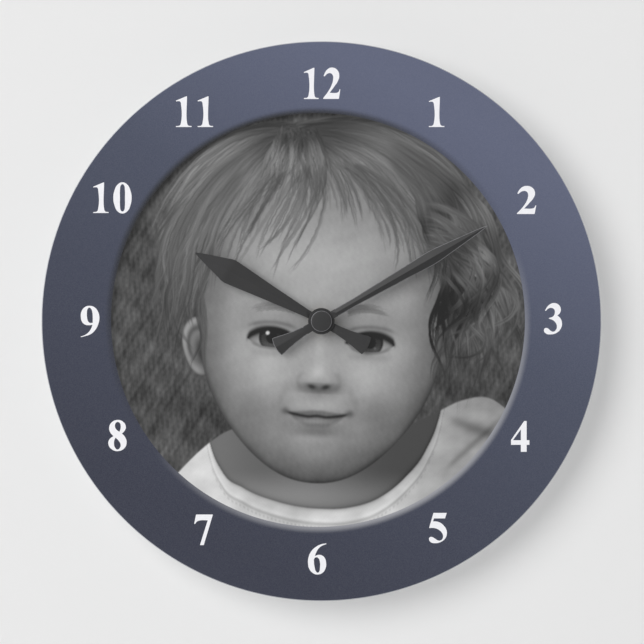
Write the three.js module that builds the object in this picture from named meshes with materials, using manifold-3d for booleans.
// Photo wall clock: a printed acrylic dial disc carried on the threaded boss of a quartz movement.
// Millimetres. Every piece is drawn as seen from the front of the dial: x to the right, y up and
// z out of the wall towards the viewer, with z = 0 at the wall and the spindle on x = y = 0.
// The clock group at the end turns that drawing frame upright, so +Z is up and the dial faces -Y.
import * as THREE from "three";
import { mergeVertices } from "three/addons/utils/BufferGeometryUtils.js";
import Module from "manifold-3d";

const wasm = await Module();
wasm.setup();

// Dial disc
const dialDiameter = 273.05;
const dialThickness = 3;
const dialEdgeBevel = 0.4;

// Fixing stack on the boss, from the case outwards
const bossRadius = 3.9;
const bossBoreRadius = 2.8;
const rubberWasherRadius = 8;
const rubberWasherThickness = 0.8;
const brassWasherRadius = 6.1;
const brassWasherThickness = 0.5;
const nutAcrossFlats = 10;
const nutThickness = 1.8;
const nutChamfer = 0.3;
const bossStandOut = 0.6;

// Hands: distances along a hand are measured from the spindle
const hourHandAngle = THREE.MathUtils.degToRad(298.5);
const minuteHandAngle = THREE.MathUtils.degToRad(60.1);
const handSheet = 0.5;
const hourHandReach = 69.8;
const hourHandWidth = 12.1;
const hourHandRidge = 0.7;
const minuteHandReach = 93.2;
const minuteHandWidth = 7;
const minuteHandRidge = 0.8;
const handTailReach = 25.4;
const handTailWidth = 9.6;
const hourEyeRadius = 6.2;
const minuteEyeRadius = 6.45;
const collarHeadRadius = 4.4;
const collarHeadLength = 0.5;
const collarTubeRadius = 3.15;
const collarStandOut = 0.6;
const capRadius = 5.1;
const capHeight = 2.4;
const capCrown = 0.5;

// Clearances: seats that touch on the real clock, radial running fits and gaps between wheels
const seatGap = 0.3;
const runGap = 0.3;
const layerGap = 0.4;
const handGap = 0.6;

// Movement case
const caseWall = 1.2;
const caseCornerRadius = 2.5;
const coverThickness = 1.2;
const wheelMargin = 1.35;
const coilMargin = 0.6;
// Heights that keep the layers of wheels apart
const pinionLift = 1.8;
const magnetRoom = 1.2;
const secondPinionLength = 1.6;

// Size AA cell and its contacts
const cellDiameter = 14.5;
const cellLength = 50.5;
const cellNippleRadius = 2.75;
const cellNippleLength = 1;
const cellShoulder = 0.6;
const cellGap = 0.3;
const contactThickness = 0.4;
const contactWidth = 4;
const leafBow = 1.1;

// Spindle: minute arbor inside the hour tube inside the boss
const arborRadius = 1.5;
const arborFlatWidth = 2.3;
const arborThreadRadius = 1.1;
const arborThreadLength = 1.5;
const arborBoreDepth = 1.1;
const clutchRadius = 3.2;
const clutchThickness = 0.2;
const hourTubeRadius = 2.45;
const hourTubeBoreRadius = 1.85;

// Wheels: the tooth counts give the true ratios of a quartz movement
const wheelThickness = 0.8;
const motionThickness = 1;
const trainModule = 0.3;
const motionDistance = 7.5;
const rotorTeeth = 10;
const intermediateTeeth = 50;
const intermediatePinionTeeth = 10;
const secondTeeth = 60;
const secondPinionTeeth = 8;
const thirdTeeth = 60;
const thirdPinionTeeth = 8;
const centreTeeth = 64;
const cannonTeeth = 12;
const motionTeeth = 36;
const motionPinionTeeth = 10;
const hourTeeth = 40;
const setTeeth = 12;
const pivotRadius = 0.45;
const pivotLength = 0.8;
const pivotBossRadius = 1.5;
const pivotBossHeight = 1.4;
const motionPostRadius = 0.5;

// Directions from one arbor to the next, counter-clockwise from the right
const thirdDirection = THREE.MathUtils.degToRad(120);
const intermediateDirection = THREE.MathUtils.degToRad(20);
const rotorDirection = THREE.MathUtils.degToRad(75);
const motionDirection = THREE.MathUtils.degToRad(195);
const setDirection = THREE.MathUtils.degToRad(184);

// Stepping motor
const magnetRadius = 2.5;
const magnetLength = 2.4;
const statorThickness = 0.8;
const statorBarWidth = 5;
const statorLegWidth = 4.2;
const statorEyeWall = 2;
const coreWidth = 3;
const coreThickness = 1.2;
const coilSpan = 17;
const flangeThickness = 0.8;
const flangeWidth = 7.2;
const flangeHeight = 6.6;
const spoolWall = 0.5;
const windingDepth = 0.8;
const windingCorner = 0.9;

// Setting knob on the back
const knobRadius = 5;
const knobHeight = 2.6;
const knobFace = 0.6;
const knobRibs = 24;
const knobRibDepth = 0.25;
const setStaffRadius = 0.9;

// Circuit board and what it carries
const boardThickness = 0.8;
const boardWidth = 7.7;
const boardHeight = 26.3;
const chipRadius = 2.6;
const chipHeight = 1.1;
const crystalRadius = 1;
const crystalLength = 6;

// Hanging loop, moulded on the rear cover
const hangerWidth = 17;
const hangerHeight = 15;
const hangerThickness = 2.2;
const keyholeRadius = 3.8;
const keyholeSlotWidth = 4.6;
const keyholeHeight = 5.2;
const keyholeReach = 9.6;
const hangerCorner = 5;

// Posts, pins and snap tongues
const postRadius = 1.6;
const pinRadius = 1.2;
const middlePlateThickness = 1.2;
const tongueWidth = 6;
const tongueThickness = 0.9;
const tongueLength = 3.9;
const tongueHook = 0.5;

// How finely round things are faceted, and how close two vertices count as one
const dialSides = 120;
const roundSides = 32;
const smallSides = 16;
const cornerSides = 4;
const dropSteps = 6;
const mergeDistance = 1e-4;
// Lets a cutting body run past the faces that it opens
const overrun = 1;

// Materials, one per finish
const acrylic = { color: 0x59607a, roughness: 0.2, metalness: 0 };
const charcoal = { color: 0x3a3a3c, roughness: 0.5, metalness: 0.2 };
const brass = { color: 0xb8975a, roughness: 0.35, metalness: 1 };
const blackPlastic = { color: 0x1d1d1f, roughness: 0.6, metalness: 0 };
const rubber = { color: 0x161616, roughness: 0.9, metalness: 0 };
const whiteAcetal = { color: 0xe9e6dc, roughness: 0.5, metalness: 0 };
const steel = { color: 0xb9bbbd, roughness: 0.3, metalness: 1 };
const magnetFerrite = { color: 0x3b3d42, roughness: 0.5, metalness: 0.6 };
const copper = { color: 0xb56a3a, roughness: 0.4, metalness: 1 };
const boardGreen = { color: 0x2f6a45, roughness: 0.5, metalness: 0 };
const cellJacket = { color: 0x5d6166, roughness: 0.35, metalness: 0.3 };

// Closed solids from three.js geometry

// A geometry as a solid that can be cut and joined
function solid(geometry) {
  const bare = geometry.clone();
  bare.deleteAttribute("normal");
  bare.deleteAttribute("uv");
  const merged = mergeVertices(bare, mergeDistance);
  const corners = merged.index.array;
  const kept = [];
  for (let i = 0; i < corners.length; i += 3) {
    const [a, b, c] = corners.slice(i, i + 3);
    if (a !== b && b !== c && c !== a) kept.push(a, b, c);
  }
  const mesh = new wasm.Mesh({
    numProp: 3,
    vertProperties: merged.attributes.position.array,
    triVerts: new Uint32Array(kept),
  });
  return new wasm.Manifold(mesh);
}

function joined(first, ...others) {
  return others.reduce((all, next) => all.add(next), first);
}

function cut(body, ...holes) {
  return holes.reduce((left, hole) => left.subtract(hole), body);
}

// A solid back as a geometry for its mesh
function geometryOf(body) {
  const mesh = body.getMesh();
  const points = new Float32Array(mesh.numVert * 3);
  for (let i = 0; i < mesh.numVert; i++) {
    const from = i * mesh.numProp;
    points.set(mesh.vertProperties.subarray(from, from + 3), i * 3);
  }
  const geometry = new THREE.BufferGeometry();
  geometry.setAttribute("position", new THREE.BufferAttribute(points, 3));
  geometry.setIndex(new THREE.BufferAttribute(mesh.triVerts, 1));
  const faceted = geometry.toNonIndexed();
  faceted.computeVertexNormals();
  return faceted;
}

// Turned about the z axis: profile points are [radius, z], counter-clockwise
function turned(profile, sides) {
  const points = profile.map(([radius, z]) => new THREE.Vector2(radius, z));
  const lathe = new THREE.LatheGeometry(points, sides);
  return solid(lathe.rotateX(Math.PI / 2));
}

function disc(radius, low, high, sides = roundSides) {
  return turned([[0, low], [radius, low], [radius, high], [0, high]], sides);
}

function ring(outer, inner, low, high, sides = roundSides) {
  const profile = [[inner, low], [outer, low], [outer, high], [inner, high], [inner, low]];
  return turned(profile, sides);
}

function box(left, right, bottom, top, low, high) {
  const block = new THREE.BoxGeometry(right - left, top - bottom, high - low);
  return solid(block.translate((left + right) / 2, (bottom + top) / 2, (low + high) / 2));
}

// A flat outline raised from low to high
function plate(outline, low, high, sides = cornerSides) {
  const settings = { depth: high - low, bevelEnabled: false, curveSegments: sides };
  return solid(new THREE.ExtrudeGeometry(outline, settings).translate(0, 0, low));
}

function roundedOutline(left, right, bottom, top, radius) {
  const outline = new THREE.Shape();
  outline.moveTo(left + radius, bottom);
  outline.absarc(right - radius, bottom + radius, radius, -Math.PI / 2, 0);
  outline.absarc(right - radius, top - radius, radius, 0, Math.PI / 2);
  outline.absarc(left + radius, top - radius, radius, Math.PI / 2, Math.PI);
  outline.absarc(left + radius, bottom + radius, radius, Math.PI, Math.PI * 1.5);
  return outline;
}

function at(body, centre) {
  return body.translate([centre.x, centre.y, 0]);
}

function spun(body, angle) {
  return body.rotate([0, 0, THREE.MathUtils.radToDeg(angle)]);
}

// One named piece of the clock in its finish
function piece(name, body, finish) {
  const material = new THREE.MeshStandardMaterial(finish);
  const mesh = new THREE.Mesh(geometryOf(body), material);
  mesh.name = name;
  return mesh;
}

// Gears

const toothAddendum = 0.9;
const toothDedendum = 1.2;
// Half the thickness of a tooth, in modules, at its tip, pitch line and root
const wheelToothShares = { tip: 0.34, pitch: 0.7, root: 1.1 };
const pinionLeafShares = { tip: 0.24, pitch: 0.56, root: 0.5 };
const fewestWheelTeeth = 30;

function pitchRadius(gear) {
  return (gear.module * gear.teeth) / 2;
}

function tipRadius(gear) {
  return pitchRadius(gear) + toothAddendum * gear.module;
}

function rootRadius(gear) {
  return pitchRadius(gear) - toothDedendum * gear.module;
}

// One toothed rim from low to high, with a tooth centred on its phase
function toothed(gear, low, high) {
  const shares = gear.teeth < fewestWheelTeeth ? pinionLeafShares : wheelToothShares;
  const corners = [
    [rootRadius(gear), -shares.root],
    [pitchRadius(gear), -shares.pitch],
    [tipRadius(gear), -shares.tip],
    [tipRadius(gear), shares.tip],
    [pitchRadius(gear), shares.pitch],
    [rootRadius(gear), shares.root],
  ];
  const used = gear.teeth < fewestWheelTeeth ? corners : corners.filter((_, i) => i % 3 !== 1);
  const outline = [];
  for (let tooth = 0; tooth < gear.teeth; tooth++) {
    const middle = gear.phase + (tooth * 2 * Math.PI) / gear.teeth;
    for (const [radius, share] of used) {
      const angle = middle + (share * gear.module) / radius;
      outline.push(new THREE.Vector2(radius * Math.cos(angle), radius * Math.sin(angle)));
    }
  }
  return plate(new THREE.Shape(outline), low, high);
}

function polar(distance, direction) {
  return new THREE.Vector2(distance * Math.cos(direction), distance * Math.sin(direction));
}

function meshDistance(first, second) {
  return pitchRadius(first) + pitchRadius(second);
}

// The phase that puts a gap of the second gear where the first has a tooth
function meshedPhase(first, second, direction) {
  const ahead = (first.phase - direction) * first.teeth;
  return direction + Math.PI + (Math.PI - ahead) / second.teeth;
}

const spindle = new THREE.Vector2(0, 0);

// Each gear has its teeth, its module and the phase of one tooth
const cannon = { teeth: cannonTeeth, module: 0, phase: 0 };
const motionWheel = { teeth: motionTeeth, module: 0, phase: 0 };
cannon.module = (2 * motionDistance) / (cannonTeeth + motionTeeth);
motionWheel.module = cannon.module;
motionWheel.phase = meshedPhase(cannon, motionWheel, motionDirection);
const motionCentre = polar(motionDistance, motionDirection);

const motionPinion = { teeth: motionPinionTeeth, module: 0, phase: 0 };
const hourWheel = { teeth: hourTeeth, module: 0, phase: 0 };
motionPinion.module = (2 * motionDistance) / (motionPinionTeeth + hourTeeth);
hourWheel.module = motionPinion.module;
hourWheel.phase = meshedPhase(motionPinion, hourWheel, motionDirection + Math.PI);

const setPinion = { teeth: setTeeth, module: motionWheel.module, phase: 0 };
setPinion.phase = meshedPhase(motionWheel, setPinion, setDirection);
const setOffset = polar(meshDistance(motionWheel, setPinion), setDirection);
const setCentre = motionCentre.clone().add(setOffset);

const secondPinion = { teeth: secondPinionTeeth, module: trainModule, phase: 0 };
const thirdWheel = { teeth: thirdTeeth, module: trainModule, phase: 0 };
thirdWheel.phase = meshedPhase(secondPinion, thirdWheel, thirdDirection);
const thirdDistance = meshDistance(secondPinion, thirdWheel);
const thirdCentre = polar(thirdDistance, thirdDirection);

const centreModule = (2 * thirdDistance) / (centreTeeth + thirdPinionTeeth);
const centreWheel = { teeth: centreTeeth, module: centreModule, phase: 0 };
const thirdPinion = { teeth: thirdPinionTeeth, module: centreModule, phase: 0 };
thirdPinion.phase = meshedPhase(centreWheel, thirdPinion, thirdDirection);

const secondWheel = { teeth: secondTeeth, module: trainModule, phase: 0 };
const intermediatePinion = { teeth: intermediatePinionTeeth, module: trainModule, phase: 0 };
intermediatePinion.phase = meshedPhase(secondWheel, intermediatePinion, intermediateDirection);
const intermediateDistance = meshDistance(secondWheel, intermediatePinion);
const intermediateCentre = polar(intermediateDistance, intermediateDirection);

const intermediateWheel = { teeth: intermediateTeeth, module: trainModule, phase: 0 };
const rotorPinion = { teeth: rotorTeeth, module: trainModule, phase: 0 };
rotorPinion.phase = meshedPhase(intermediateWheel, rotorPinion, rotorDirection);
const rotorOffset = polar(meshDistance(intermediateWheel, rotorPinion), rotorDirection);
const rotorCentre = intermediateCentre.clone().add(rotorOffset);

// Levels of the movement, from the wall outwards
const pivotFloor = coverThickness + layerGap / 2;
const rotorPinionLow = coverThickness + pinionLift;
const intermediateLow = rotorPinionLow + layerGap;
const intermediateHigh = intermediateLow + wheelThickness;
const rotorPinionHigh = intermediateHigh + layerGap;
const magnetLow = rotorPinionHigh + layerGap;
const magnetHigh = magnetLow + magnetLength;
const secondLow = intermediateHigh + magnetRoom;
const secondHigh = secondLow + wheelThickness;
const intermediatePinionHigh = secondHigh + layerGap;
const thirdLow = secondHigh + secondPinionLength;
const thirdHigh = thirdLow + wheelThickness;
const middleLow = thirdHigh + layerGap;
const middleHigh = middleLow + middlePlateThickness;
const centreLow = middleHigh + layerGap;
const centreHigh = centreLow + wheelThickness;
const clutchLow = centreHigh + seatGap;
const motionLow = clutchLow + clutchThickness + seatGap;
const motionHigh = motionLow + motionThickness;
const hourLow = motionHigh + layerGap;
const hourHigh = hourLow + motionThickness;
const frontInner = Math.max(hourHigh + layerGap, cellDiameter + 2 * cellGap);
const caseDepth = frontInner + caseWall;

// Levels of the dial, its fixings and the hands
const rubberLow = caseDepth + seatGap;
const dialLow = rubberLow + rubberWasherThickness + seatGap;
const dialHigh = dialLow + dialThickness;
const washerLow = dialHigh + seatGap;
const nutLow = washerLow + brassWasherThickness + seatGap;
const nutHigh = nutLow + nutThickness;
const bossHigh = nutHigh + bossStandOut;
const collarLow = bossHigh + seatGap;
const hourHandLow = collarLow + collarHeadLength + seatGap;
const collarHigh = hourHandLow + handSheet + collarStandOut;
const minuteHandLow = collarHigh + handGap;
const minuteHandHigh = minuteHandLow + handSheet;
const capLow = minuteHandHigh + seatGap;
const capHigh = capLow + capHeight;
const arborShoulder = minuteHandLow - seatGap;
const arborHigh = capLow + arborThreadLength;

// Plan of the case, from the cell bay at the bottom to the coil at the top
const cellRadius = cellDiameter / 2;
const trainFloor = -(tipRadius(centreWheel) + wheelMargin);
const bayTop = trainFloor - caseWall;
const cellCentreY = bayTop - cellGap - cellRadius;
const cellCentreZ = cellGap + cellRadius;
const bayBottom = cellCentreY - cellRadius - cellGap;
const caseBottom = bayBottom - caseWall;
const contactRoom = 2 * seatGap + contactThickness;
const cellBay = (cellLength + 2 * contactRoom + leafBow) / 2;
// The board stands just right of the intermediate wheel, and the knob's well at the far left
const boardLeft = intermediateCentre.x + tipRadius(intermediateWheel) + 2 * layerGap;
const boardRight = boardLeft + boardWidth;
const wellRadius = knobRadius + 2 * runGap;
const wellLeft = setCentre.x - wellRadius - caseWall;
const bayRight = Math.max(cellBay, boardRight + 2 * runGap, wheelMargin - wellLeft);
const bayLeft = -bayRight;
const caseRight = bayRight + caseWall;
const caseLeft = -caseRight;
const cellTip = bayRight - contactRoom;
const cellTail = cellTip - cellLength;

// Plan of the motor: the eye of the stator round the rotor, and the coil above it
const eyeRadius = magnetRadius + layerGap;
const eyeOuterRadius = eyeRadius + statorEyeWall;
const coilCentreY = rotorCentre.y + eyeOuterRadius + wheelMargin + flangeWidth / 2;
const trainTop = coilCentreY + flangeWidth / 2 + coilMargin;
const caseTop = trainTop + caseWall;
const coilMiddleX = rotorCentre.x - seatGap;
const coilLeft = coilMiddleX - coilSpan / 2;
const coilRight = coilMiddleX + coilSpan / 2;
const statorLeft = coilLeft - layerGap - statorLegWidth;
const statorRight = coilRight + layerGap + statorLegWidth;
const statorLow = secondLow + layerGap / 2;
const statorHigh = statorLow + statorThickness;
const coreLow = statorHigh + seatGap;
const coreHigh = coreLow + coreThickness;
const coreMiddleZ = (coreLow + coreHigh) / 2;

// Levels of the circuit board, and of the well round the knob
const boardBottom = trainFloor + layerGap;
const boardTop = boardBottom + boardHeight;
const boardMiddleX = (boardLeft + boardRight) / 2;
const boardLow = intermediateLow + layerGap / 2;
const boardHigh = boardLow + boardThickness;
const stripLow = boardHigh + seatGap;
const stripHigh = stripLow + contactWidth;
const knobLow = seatGap;
const knobHigh = knobLow + knobHeight;
const knobFaceHigh = knobLow + knobFace;
const wellFloorLow = knobHigh + seatGap;
const wellFloorHigh = wellFloorLow + caseWall;
const coverBottom = bayTop - seatGap;

// Places of the posts that carry the middle plate, clear of every wheel
const rightPost = new THREE.Vector2(
  intermediateCentre.x + tipRadius(intermediateWheel) / 2,
  trainFloor + postRadius + tongueThickness + wheelMargin,
);
const leftPost = new THREE.Vector2(
  thirdCentre.x - tipRadius(thirdWheel) - postRadius - wheelMargin - setStaffRadius,
  thirdCentre.y + postRadius,
);
const motorPost = new THREE.Vector2(rotorCentre.x + magnetRadius, rotorCentre.y + magnetRadius);
const middlePosts = [rightPost, leftPost];

// Dial and fixings

// The disc has polished bevels and a plain hole for the boss
function dialPlate() {
  const hole = bossRadius + runGap;
  const rim = dialDiameter / 2;
  const bevel = dialEdgeBevel;
  const profile = [
    [hole, dialLow],
    [rim - bevel, dialLow],
    [rim, dialLow + bevel],
    [rim, dialHigh - bevel],
    [rim - bevel, dialHigh],
    [hole, dialHigh],
    [hole, dialLow],
  ];
  return turned(profile, dialSides);
}

function rubberWasher() {
  const high = rubberLow + rubberWasherThickness;
  return ring(rubberWasherRadius, bossRadius + runGap, rubberLow, high);
}

function brassWasher() {
  const high = washerLow + brassWasherThickness;
  return ring(brassWasherRadius, bossRadius + runGap, washerLow, high);
}

// A hexagon whose corners are turned off at both faces
function fixingNut() {
  const corner = nutAcrossFlats / Math.sqrt(3);
  const outline = new THREE.Shape();
  for (let side = 0; side < 6; side++) {
    const point = polar(corner, (side * Math.PI) / 3);
    if (side === 0) outline.moveTo(point.x, point.y);
    else outline.lineTo(point.x, point.y);
  }
  const turnedCorners = turned(
    [
      [0, nutLow],
      [corner - nutChamfer, nutLow],
      [corner, nutLow + nutChamfer],
      [corner, nutHigh - nutChamfer],
      [corner - nutChamfer, nutHigh],
      [0, nutHigh],
    ],
    roundSides,
  );
  const bore = disc(bossRadius + runGap, nutLow - overrun, nutHigh + overrun);
  return cut(plate(outline, nutLow, nutHigh).intersect(turnedCorners), bore);
}

// Hands

// Each station along a blade is [share of its reach, share of its full width]
const hourBladeShares = [
  [0.03, 0.29],
  [0.09, 0.305],
  [0.12, 0.32],
  [0.21, 0.413],
  [0.42, 0.645],
  [0.663, 0.945],
  [0.71, 0.992],
  [0.728, 1],
  [0.752, 0.965],
  [0.782, 0.843],
  [0.838, 0.645],
  [0.908, 0.397],
  [0.964, 0.19],
  [1, 0.03],
];
const minuteBladeShares = [
  [0.02, 0.53],
  [0.07, 0.54],
  [0.09, 0.545],
  [0.21, 0.56],
  [0.314, 0.64],
  [0.419, 0.745],
  [0.524, 0.85],
  [0.6, 0.955],
  [0.635, 0.99],
  [0.659, 1],
  [0.691, 0.965],
  [0.733, 0.865],
  [0.785, 0.72],
  [0.837, 0.58],
  [0.89, 0.435],
  [0.942, 0.29],
  [0.975, 0.17],
  [1, 0.04],
];
const tailShares = [
  [-1.08, 1.12],
  [-1, 1.01],
  [-0.886, 0.9],
  [-0.768, 0.755],
  [-0.575, 0.57],
  [-0.35, 0.44],
  [-0.26, 0.43],
  [-0.1, 0.42],
];
// The crease dies away where the blade runs under the eye of the hand, at this share of the eye
const creaseStartShare = 1.1;

// Rings of points, counter-clockwise seen from the far end, closed by a fan at each end
function lofted(rings) {
  const count = rings[0].length;
  const points = rings.flat();
  const corners = [];
  for (let row = 0; row + 1 < rings.length; row++) {
    for (let i = 0; i < count; i++) {
      const next = (i + 1) % count;
      const near = row * count;
      const far = near + count;
      corners.push(near + i, near + next, far + next);
      corners.push(near + i, far + next, far + i);
    }
  }
  const hub = count - 1;
  const last = (rings.length - 1) * count;
  for (let i = 0; i + 2 < count; i++) {
    corners.push(hub, i + 1, i);
    corners.push(last + hub, last + i, last + i + 1);
  }
  const geometry = new THREE.BufferGeometry().setFromPoints(points);
  geometry.setIndex(corners);
  return solid(geometry);
}

// A strip of sheet along +y, folded into a low roof along its middle
function creased(shares, reach, width, ridge, eyeRadius, low) {
  const high = low + handSheet;
  const rings = shares.map(([along, across]) => {
    const y = along * reach;
    const half = (across * width) / 2;
    const underEye = Math.abs(y) < creaseStartShare * eyeRadius;
    const crease = underEye ? 0 : ridge * Math.min(across, 1);
    return [
      new THREE.Vector3(-half, y, low),
      new THREE.Vector3(-half, y, high),
      new THREE.Vector3(0, y, high + crease),
      new THREE.Vector3(half, y, high),
      new THREE.Vector3(half, y, low),
      new THREE.Vector3(0, y, low + crease),
    ];
  });
  return lofted(rings);
}

// The tail flares to an end struck from the spindle
function handTail(ridge, eyeRadius, low) {
  const flare = creased(tailShares, handTailReach, handTailWidth, ridge, eyeRadius, low);
  const sweep = disc(handTailReach, low - overrun, low + handSheet + overrun, dialSides);
  return flare.intersect(sweep);
}

function hourHand() {
  const low = hourHandLow;
  const high = low + handSheet;
  const blade = creased(
    hourBladeShares,
    hourHandReach,
    hourHandWidth,
    hourHandRidge,
    hourEyeRadius,
    low,
  );
  const tail = handTail(hourHandRidge / 2, hourEyeRadius, low);
  const hand = joined(blade, tail, disc(hourEyeRadius, low, high));
  return cut(hand, disc(collarTubeRadius + runGap, low - overrun, high + overrun));
}

// The brass tube that is riveted to the hour hand and grips the hour tube
function hourCollar() {
  const bore = hourTubeRadius + runGap;
  const head = collarLow + collarHeadLength;
  return turned(
    [
      [bore, collarLow],
      [collarHeadRadius, collarLow],
      [collarHeadRadius, head],
      [collarTubeRadius, head],
      [collarTubeRadius, collarHigh],
      [bore, collarHigh],
      [bore, collarLow],
    ],
    roundSides,
  );
}

// A round bar with two flats, or the hole that takes it
function doubleFlat(radius, flatWidth, low, high) {
  const slab = box(-radius, radius, -flatWidth / 2, flatWidth / 2, low, high);
  return disc(radius, low, high).intersect(slab);
}

function minuteHand() {
  const low = minuteHandLow;
  const high = minuteHandHigh;
  const blade = creased(
    minuteBladeShares,
    minuteHandReach,
    minuteHandWidth,
    minuteHandRidge,
    minuteEyeRadius,
    low,
  );
  const tail = handTail(minuteHandRidge / 2, minuteEyeRadius, low);
  const hand = joined(blade, tail, disc(minuteEyeRadius, low, high));
  const flats = arborFlatWidth + 2 * runGap;
  const hole = doubleFlat(arborRadius + runGap, flats, low - overrun, high + overrun);
  return cut(hand, hole);
}

// A closed nut with a low crown
function handCap() {
  const bore = arborThreadRadius + runGap;
  const boreHigh = arborHigh + seatGap;
  const shoulder = capHigh - capCrown;
  return turned(
    [
      [bore, capLow],
      [capRadius, capLow],
      [capRadius, shoulder],
      [capRadius - capCrown / 2, shoulder + capCrown / 2],
      [capRadius - 2 * capCrown, capHigh - capCrown / 8],
      [0, capHigh],
      [0, boreHigh],
      [bore, boreHigh],
      [bore, capLow],
    ],
    roundSides,
  );
}

// Movement case

// The keyhole: a round mouth for the screw head and a narrower slot above it
function keyhole(low, high) {
  const mouthY = caseTop + keyholeHeight;
  const seatY = caseTop + keyholeReach;
  const half = keyholeSlotWidth / 2;
  const mouth = disc(keyholeRadius, low, high).translate([0, mouthY, 0]);
  const seat = disc(half, low, high, smallSides).translate([0, seatY, 0]);
  return joined(mouth, box(-half, half, mouthY, seatY, low, high), seat);
}

// The loop lies against the wall, and the head of the screw stands in front of it
function hangingLoop() {
  const half = hangerWidth / 2;
  const top = caseTop + hangerHeight;
  const tab = new THREE.Shape();
  tab.moveTo(-half, caseTop - caseWall);
  tab.lineTo(half, caseTop - caseWall);
  tab.lineTo(half, top - hangerCorner);
  tab.absarc(half - hangerCorner, top - hangerCorner, hangerCorner, 0, Math.PI / 2);
  tab.absarc(hangerCorner - half, top - hangerCorner, hangerCorner, Math.PI / 2, Math.PI);
  const root = plate(tab, 0, coverThickness);
  const aboveCase = box(-half, half, caseTop + seatGap, top, 0, hangerThickness);
  const loop = plate(tab, 0, hangerThickness).intersect(aboveCase);
  return cut(joined(root, loop), keyhole(-overrun, hangerThickness + overrun));
}

// A tongue inside the wall with a hook that snaps into a window, drawn on the right-hand side
function snapTongue() {
  const inner = -runGap - tongueThickness;
  const high = coverThickness + tongueLength;
  const half = tongueWidth / 2;
  const stem = box(inner, -runGap, -half, half, 0, high);
  const hook = new THREE.Shape();
  hook.moveTo(-runGap - tongueThickness / 2, high - 2 * tongueHook);
  hook.lineTo(tongueHook, high - 2 * tongueHook);
  hook.lineTo(-runGap - tongueThickness / 2, high);
  const wedge = new THREE.ExtrudeGeometry(hook, { depth: tongueWidth, bevelEnabled: false });
  wedge.rotateX(Math.PI / 2).translate(0, half, 0);
  return joined(stem, solid(wedge));
}

// The window that takes the hook
function snapWindow() {
  const high = coverThickness + tongueLength;
  const half = tongueWidth / 2 + runGap;
  const low = high - 2 * tongueHook - runGap;
  return box(-runGap, caseWall + overrun, -half, half, low, high + runGap);
}

// Places and directions of the tongues round the wall
const tonguePlaces = [
  { x: bayLeft, y: thirdCentre.y + postRadius + tongueWidth, turn: Math.PI },
  { x: bayLeft, y: setCentre.y - tongueWidth / 3, turn: Math.PI },
  { x: -bayRight / 2 + tongueWidth / 4, y: trainTop, turn: Math.PI / 2 },
  { x: bayRight, y: coilCentreY - tongueWidth / 4, turn: 0 },
];

function placedTongues(shape) {
  return tonguePlaces.map((place) => spun(shape, place.turn).translate([place.x, place.y, 0]));
}

// A raised boss with a blind bore that holds the end of an arbor
function pivotBoss(centre, low, high, boreLow, boreHigh) {
  const boss = disc(pivotBossRadius, low, high, smallSides);
  const bore = disc(pivotRadius + runGap, boreLow, boreHigh, smallSides);
  return at(cut(boss, bore), centre);
}

function rearCover() {
  const outer = roundedOutline(caseLeft, caseRight, caseBottom, caseTop, caseCornerRadius);
  const aboveBay = box(caseLeft, caseRight, coverBottom, caseTop, 0, coverThickness);
  const sheet = plate(outer, 0, coverThickness).intersect(aboveBay);
  const bossHighest = coverThickness + pivotBossHeight;
  const bosses = [spindle, thirdCentre, intermediateCentre, rotorCentre].map((centre) =>
    pivotBoss(centre, coverThickness / 2, bossHighest, pivotFloor, bossHighest + overrun),
  );
  const supports = middlePosts.map((centre) =>
    at(disc(postRadius, coverThickness / 2, middleLow - seatGap, smallSides), centre),
  );
  const pinY = [boardBottom + 2 * pinRadius, boardTop - 2 * pinRadius];
  const boardPins = pinY.map((y) =>
    disc(pinRadius, coverThickness / 2, boardLow - seatGap, smallSides).translate([
      boardMiddleX,
      y,
      0,
    ]),
  );
  const legX = [statorLeft + statorLegWidth / 2, statorRight - statorLegWidth / 2];
  const statorPins = legX.map((x) =>
    disc(pinRadius, coverThickness / 2, statorLow - seatGap, smallSides).translate([
      x,
      coilCentreY,
      0,
    ]),
  );
  const wellWall = at(disc(wellRadius + caseWall, 0, wellFloorHigh), setCentre);
  const well = at(disc(wellRadius, -overrun, wellFloorLow), setCentre);
  const staffHole = at(
    disc(setStaffRadius + runGap, -overrun, wellFloorHigh + overrun, smallSides),
    setCentre,
  );
  const body = joined(
    sheet,
    wellWall,
    hangingLoop(),
    ...bosses,
    ...supports,
    ...boardPins,
    ...statorPins,
    ...placedTongues(snapTongue()),
  );
  return cut(body, well, staffHole);
}

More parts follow.
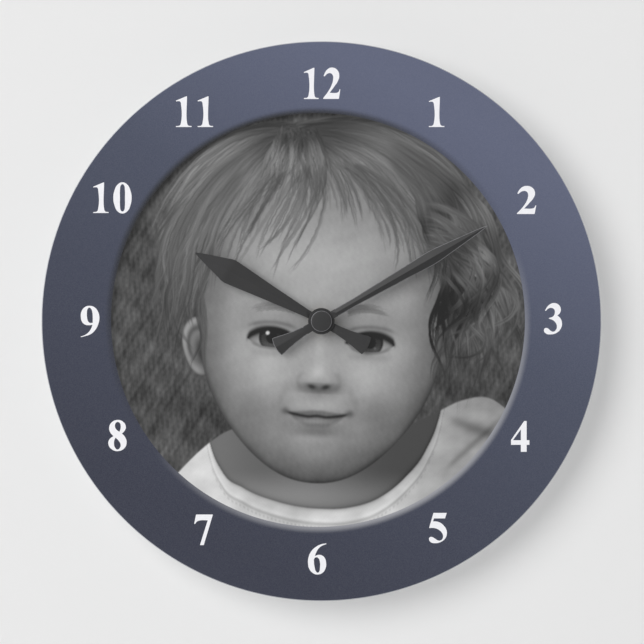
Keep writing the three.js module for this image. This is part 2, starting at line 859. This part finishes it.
// The tray that holds the train and the cell, with the threaded boss on its front
function frontCase() {
  const outer = roundedOutline(caseLeft, caseRight, caseBottom, caseTop, caseCornerRadius);
  const shell = plate(outer, 0, caseDepth);
  const innerRadius = caseCornerRadius - caseWall;
  const trainOutline = roundedOutline(bayLeft, bayRight, trainFloor, trainTop, innerRadius);
  const bayOutline = roundedOutline(bayLeft, bayRight, bayBottom, bayTop, innerRadius);
  const trainRoom = plate(trainOutline, -overrun, frontInner);
  const cellRoom = plate(bayOutline, -overrun, frontInner);
  const coverSeat = box(
    caseLeft - overrun,
    caseRight + overrun,
    coverBottom - seatGap,
    caseTop + overrun,
    -overrun,
    coverThickness + seatGap,
  );
  const notchHigh = stripHigh + seatGap;
  const notchInner = bayRight - contactRoom;
  const notches = [-1, 1].map((side) => {
    const ends = [side * notchInner, side * bayRight].sort((a, b) => a - b);
    return box(ends[0], ends[1], bayTop - overrun, trainFloor + overrun, -overrun, notchHigh);
  });
  const tray = cut(shell, trainRoom, cellRoom, coverSeat, ...notches);
  const root = frontInner + caseWall / 2;
  const posts = [rightPost, leftPost, motorPost].map((centre) =>
    at(disc(postRadius, middleHigh + seatGap, root, smallSides), centre),
  );
  const motionPost = at(disc(motionPostRadius, clutchLow, root, smallSides), motionCentre);
  const thirdTop = thirdPinionHigh + seatGap;
  const setTop = motionHigh + seatGap;
  const bosses = [
    pivotBoss(thirdCentre, thirdTop, root, thirdTop - overrun, frontInner - seatGap),
    pivotBoss(setCentre, setTop, root, setTop - overrun, frontInner - seatGap / 2),
  ];
  const boss = disc(bossRadius, frontInner, bossHigh, roundSides);
  const body = joined(tray, boss, motionPost, ...posts, ...bosses);
  const bore = disc(bossBoreRadius, frontInner - overrun, bossHigh + overrun, roundSides);
  return cut(body, bore, ...placedTongues(snapWindow()));
}

// Train

function middlePlate() {
  const left = leftPost.x - 2 * postRadius;
  const right = rightPost.x + 2 * postRadius;
  const top = coilCentreY - flangeWidth / 2 - wheelMargin;
  const bottom = trainFloor + wheelMargin;
  const outline = roundedOutline(left, right, bottom, top, postRadius);
  const sheet = plate(outline, middleLow, middleHigh);
  const holes = [
    [spindle, arborRadius],
    [thirdCentre, tipRadius(thirdPinion)],
    [setCentre, setStaffRadius],
    [intermediateCentre, pivotRadius],
    [rotorCentre, pivotRadius],
  ].map(([centre, radius]) =>
    at(disc(radius + runGap, middleLow - overrun, middleHigh + overrun, smallSides), centre),
  );
  return cut(sheet, ...holes);
}

// The wheels are drawn round their own arbors, and their meshes stand at their centres
function rotorBody() {
  const staff = disc(pivotRadius, pivotFloor + seatGap, middleLow + pivotLength, smallSides);
  return joined(toothed(rotorPinion, rotorPinionLow, rotorPinionHigh), staff);
}

function rotorMagnet() {
  return ring(magnetRadius, pivotRadius + runGap, magnetLow, magnetHigh);
}

function intermediateBody() {
  const wheel = toothed(intermediateWheel, intermediateLow, intermediateHigh);
  const leaves = toothed(intermediatePinion, intermediateLow, intermediatePinionHigh);
  const staff = disc(pivotRadius, pivotFloor + seatGap, middleLow + pivotLength, smallSides);
  return joined(wheel, leaves, staff);
}

const secondPinionHigh = thirdHigh + seatGap / 3;
const arborLow = middleLow + seatGap;

function secondBody() {
  const wheel = toothed(secondWheel, secondLow, secondHigh);
  const leaves = toothed(secondPinion, secondLow, secondPinionHigh);
  const staff = disc(pivotRadius, pivotFloor + seatGap, arborLow + pivotLength, smallSides);
  return joined(wheel, leaves, staff);
}

const thirdPinionHigh = centreHigh + seatGap;

function thirdBody() {
  const wheel = toothed(thirdWheel, thirdLow, thirdHigh);
  const leaves = toothed(thirdPinion, thirdLow, thirdPinionHigh);
  const high = thirdPinionHigh + seatGap + pivotLength;
  const staff = disc(pivotRadius, pivotFloor + seatGap, high, smallSides);
  return joined(wheel, leaves, staff);
}

function centreBody() {
  const bore = disc(arborRadius + runGap, centreLow - overrun, centreHigh + overrun);
  return cut(toothed(centreWheel, centreLow, centreHigh), bore);
}

function clutchWasher() {
  return ring(clutchRadius, arborRadius + runGap, clutchLow, clutchLow + clutchThickness);
}

// The cannon leaves, the round bearing, the flats for the hand and the thread for the cap
function minuteArbor() {
  const bar = disc(arborRadius, arborLow, arborShoulder);
  const flats = doubleFlat(arborRadius, arborFlatWidth, arborShoulder, minuteHandHigh);
  const turnedFlats = spun(flats, -minuteHandAngle);
  const thread = disc(arborThreadRadius, arborShoulder, arborHigh, smallSides);
  const leaves = toothed(cannon, motionLow, motionHigh);
  const boreHigh = arborLow + arborBoreDepth;
  const bore = disc(pivotRadius + runGap, arborLow - overrun, boreHigh, smallSides);
  return cut(joined(bar, turnedFlats, thread, leaves), bore);
}

function motionBody() {
  const wheel = toothed(motionWheel, motionLow, motionHigh);
  const leaves = toothed(motionPinion, motionLow, hourHigh);
  const bore = disc(motionPostRadius + runGap, motionLow - overrun, hourHigh + overrun, smallSides);
  return cut(joined(wheel, leaves), bore);
}

function hourBody() {
  const wheel = toothed(hourWheel, hourLow, hourHigh);
  const tube = disc(hourTubeRadius, hourLow, collarHigh);
  const bore = disc(hourTubeBoreRadius, hourLow - overrun, collarHigh + overrun);
  return cut(joined(wheel, tube), bore);
}

// The staff runs from the knob through the cover to the leaves that turn the motion wheel
function setArbor() {
  const staff = disc(setStaffRadius, knobFaceHigh + seatGap, motionLow + seatGap, smallSides);
  const leaves = toothed(setPinion, motionLow, motionHigh);
  const pivot = disc(pivotRadius, motionLow, motionHigh + seatGap + pivotLength, smallSides);
  return joined(staff, leaves, pivot);
}

// A ribbed knob pressed on the staff behind the cover, with a finger face left whole
function setKnob() {
  const outline = [];
  for (let rib = 0; rib < knobRibs; rib++) {
    const pitch = (2 * Math.PI) / knobRibs;
    const start = rib * pitch;
    outline.push(polar(knobRadius - knobRibDepth, start));
    outline.push(polar(knobRadius, start + pitch / 4));
    outline.push(polar(knobRadius, start + pitch / 2));
    outline.push(polar(knobRadius - knobRibDepth, start + (3 * pitch) / 4));
  }
  const grip = plate(new THREE.Shape(outline), knobLow, knobHigh);
  const bore = disc(setStaffRadius + runGap, knobFaceHigh, knobHigh + overrun, smallSides);
  return cut(grip, bore);
}

// Motor

function stator() {
  const barLow = rotorCentre.y - statorBarWidth / 2;
  const barHigh = rotorCentre.y + statorBarWidth / 2;
  const legHigh = coilCentreY + coreWidth / 2;
  const bar = box(statorLeft, statorRight, barLow, barHigh, statorLow, statorHigh);
  const eye = at(disc(eyeOuterRadius, statorLow, statorHigh), rotorCentre);
  const leftLegEnd = statorLeft + statorLegWidth;
  const rightLegStart = statorRight - statorLegWidth;
  const leftLeg = box(statorLeft, leftLegEnd, barLow, legHigh, statorLow, statorHigh);
  const rightLeg = box(rightLegStart, statorRight, barLow, legHigh, statorLow, statorHigh);
  const hole = at(disc(eyeRadius, statorLow - overrun, statorHigh + overrun), rotorCentre);
  return cut(joined(bar, eye, leftLeg, rightLeg), hole);
}

function coilCore() {
  const low = coilCentreY - coreWidth / 2;
  const high = coilCentreY + coreWidth / 2;
  return box(statorLeft, statorRight, low, high, coreLow, coreHigh);
}

// Turns an outline drawn across the coil into a length of it along x
function alongCoil(outline, from, to) {
  const settings = { depth: to - from, bevelEnabled: false, curveSegments: cornerSides };
  const across = new THREE.Matrix4().makeBasis(
    new THREE.Vector3(0, 1, 0),
    new THREE.Vector3(0, 0, 1),
    new THREE.Vector3(1, 0, 0),
  );
  const length = new THREE.ExtrudeGeometry(outline, settings).applyMatrix4(across);
  return solid(length.translate(from, coilCentreY, coreMiddleZ));
}

function centredBlock(width, height, from, to) {
  return box(
    from,
    to,
    coilCentreY - width / 2,
    coilCentreY + width / 2,
    coreMiddleZ - height / 2,
    coreMiddleZ + height / 2,
  );
}

const spoolBoreWidth = coreWidth + 2 * seatGap;
const spoolBoreHeight = coreThickness + 2 * seatGap;
const spoolWidth = spoolBoreWidth + 2 * spoolWall;
const spoolHeight = spoolBoreHeight + 2 * spoolWall;

// Two square cheeks on a square tube
function coilBobbin() {
  const tube = centredBlock(spoolWidth, spoolHeight, coilLeft, coilRight);
  const leftCheek = centredBlock(flangeWidth, flangeHeight, coilLeft, coilLeft + flangeThickness);
  const rightCheek = centredBlock(
    flangeWidth,
    flangeHeight,
    coilRight - flangeThickness,
    coilRight,
  );
  const bore = centredBlock(
    spoolBoreWidth,
    spoolBoreHeight,
    coilLeft - overrun,
    coilRight + overrun,
  );
  return cut(joined(tube, leftCheek, rightCheek), bore);
}

function coilWinding() {
  const from = coilLeft + flangeThickness + seatGap;
  const to = coilRight - flangeThickness - seatGap;
  const innerWidth = spoolWidth + 2 * seatGap;
  const innerHeight = spoolHeight + 2 * seatGap;
  const halfWidth = innerWidth / 2 + windingDepth;
  const halfHeight = innerHeight / 2 + windingDepth;
  const outline = roundedOutline(-halfWidth, halfWidth, -halfHeight, halfHeight, windingCorner);
  const wound = alongCoil(outline, from, to);
  return cut(wound, centredBlock(innerWidth, innerHeight, from - overrun, to + overrun));
}

// Circuit

function circuitBoard() {
  return box(boardLeft, boardRight, boardBottom, boardTop, boardLow, boardHigh);
}

// The drop of resin over the chip
function chipDrop() {
  const low = boardHigh + seatGap;
  const arc = [];
  for (let step = 0; step <= dropSteps; step++) {
    const angle = (step * Math.PI) / 2 / dropSteps;
    arc.push([chipRadius * Math.cos(angle), low + chipHeight * Math.sin(angle)]);
  }
  const drop = turned([[0, low], ...arc], smallSides);
  return drop.translate([boardMiddleX, (boardBottom + boardTop) / 2, 0]);
}

// A watch crystal lying on the board
function crystalCan() {
  const length = new THREE.CylinderGeometry(
    crystalRadius,
    crystalRadius,
    crystalLength,
    smallSides,
  );
  const middleY = boardBottom + crystalLength / 2 + 2 * crystalRadius;
  return solid(length.translate(boardMiddleX, middleY, boardHigh + seatGap + crystalRadius));
}

// A bent strip drawn in plan along a line of points
function strip(path) {
  const half = contactThickness / 2;
  const sides = [1, -1].map((side) =>
    path.map((point, i) => {
      const before = path[Math.max(i - 1, 0)];
      const after = path[Math.min(i + 1, path.length - 1)];
      const into = point.clone().sub(before);
      const out = after.clone().sub(point);
      if (into.length() === 0) into.copy(out);
      if (out.length() === 0) out.copy(into);
      const first = new THREE.Vector2(-into.y, into.x).normalize();
      const second = new THREE.Vector2(-out.y, out.x).normalize();
      const mitre = first.clone().add(second).normalize();
      return point.clone().addScaledVector(mitre, (side * half) / mitre.dot(first));
    }),
  );
  const outline = new THREE.Shape([...sides[1], ...sides[0].reverse()]);
  return plate(outline, stripLow, stripHigh);
}

// A flat strip at the positive end, which runs through its notch and bends over the board
function positiveContact() {
  const x = bayRight - seatGap - contactThickness / 2;
  const bendY = boardBottom + contactWidth;
  return strip([
    new THREE.Vector2(x, cellCentreY - contactWidth / 2),
    new THREE.Vector2(x, bendY),
    new THREE.Vector2(boardRight - pinRadius, bendY),
  ]);
}

// A bowed leaf at the negative end, which runs along the partition to the board
function negativeContact() {
  const x = bayLeft + seatGap + contactThickness / 2;
  const turnY = trainFloor + seatGap + contactThickness / 2;
  const half = cellRadius / 2;
  return strip([
    new THREE.Vector2(x, cellCentreY - half),
    new THREE.Vector2(cellTail - seatGap - contactThickness / 2, cellCentreY),
    new THREE.Vector2(x, cellCentreY + half),
    new THREE.Vector2(x, turnY),
    new THREE.Vector2(boardLeft + pinRadius, turnY),
  ]);
}

// The cell lies along x with its nipple to the right
function cell() {
  const profile = [
    [0, 0],
    [cellRadius - cellShoulder, 0],
    [cellRadius, cellShoulder],
    [cellRadius, cellLength - cellNippleLength - cellShoulder],
    [cellRadius - cellShoulder, cellLength - cellNippleLength],
    [cellNippleRadius, cellLength - cellNippleLength],
    [cellNippleRadius, cellLength],
    [0, cellLength],
  ];
  const standing = turned(profile, roundSides);
  return standing.rotate([0, 90, 0]).translate([cellTail, cellCentreY, cellCentreZ]);
}

// The assembly

function stands(mesh, centre) {
  mesh.position.set(centre.x, centre.y, 0);
  return mesh;
}

// A hand drawn at twelve o'clock, turned clockwise to its reading
function pointing(mesh, clockwise) {
  mesh.rotation.z = -clockwise;
  return mesh;
}

function group(...members) {
  return new THREE.Group().add(...members);
}

const dial = group(
  piece("dial_plate", dialPlate(), acrylic),
  piece("rubber_washer", rubberWasher(), rubber),
  piece("brass_washer", brassWasher(), brass),
  piece("fixing_nut", fixingNut(), brass),
);

const hands = group(
  pointing(piece("hour_hand", hourHand(), charcoal), hourHandAngle),
  piece("hour_hand_collar", hourCollar(), brass),
  pointing(piece("minute_hand", minuteHand(), charcoal), minuteHandAngle),
  piece("hand_cap", handCap(), charcoal),
);

const housing = group(
  piece("front_case", frontCase(), blackPlastic),
  piece("rear_cover", rearCover(), blackPlastic),
  piece("middle_plate", middlePlate(), whiteAcetal),
);

const train = group(
  piece("minute_arbor", minuteArbor(), brass),
  piece("centre_wheel", centreBody(), whiteAcetal),
  piece("clutch_washer", clutchWasher(), steel),
  piece("hour_wheel", hourBody(), whiteAcetal),
  stands(piece("motion_wheel", motionBody(), whiteAcetal), motionCentre),
  stands(piece("setting_arbor", setArbor(), whiteAcetal), setCentre),
  stands(piece("setting_knob", setKnob(), blackPlastic), setCentre),
  stands(piece("third_wheel", thirdBody(), whiteAcetal), thirdCentre),
  piece("second_wheel", secondBody(), whiteAcetal),
  stands(piece("intermediate_wheel", intermediateBody(), whiteAcetal), intermediateCentre),
  stands(piece("rotor_pinion", rotorBody(), whiteAcetal), rotorCentre),
  stands(piece("rotor_magnet", rotorMagnet(), magnetFerrite), rotorCentre),
);

const motor = group(
  piece("stator", stator(), steel),
  piece("coil_core", coilCore(), steel),
  piece("coil_bobbin", coilBobbin(), whiteAcetal),
  piece("coil_winding", coilWinding(), copper),
);

const circuit = group(
  piece("circuit_board", circuitBoard(), boardGreen),
  piece("chip_drop", chipDrop(), rubber),
  piece("crystal_can", crystalCan(), steel),
  piece("positive_contact", positiveContact(), steel),
  piece("negative_contact", negativeContact(), steel),
  piece("cell", cell(), cellJacket),
);

const clock = group(dial, hands, housing, train, motor, circuit);
clock.rotation.x = Math.PI / 2;

export default clock;
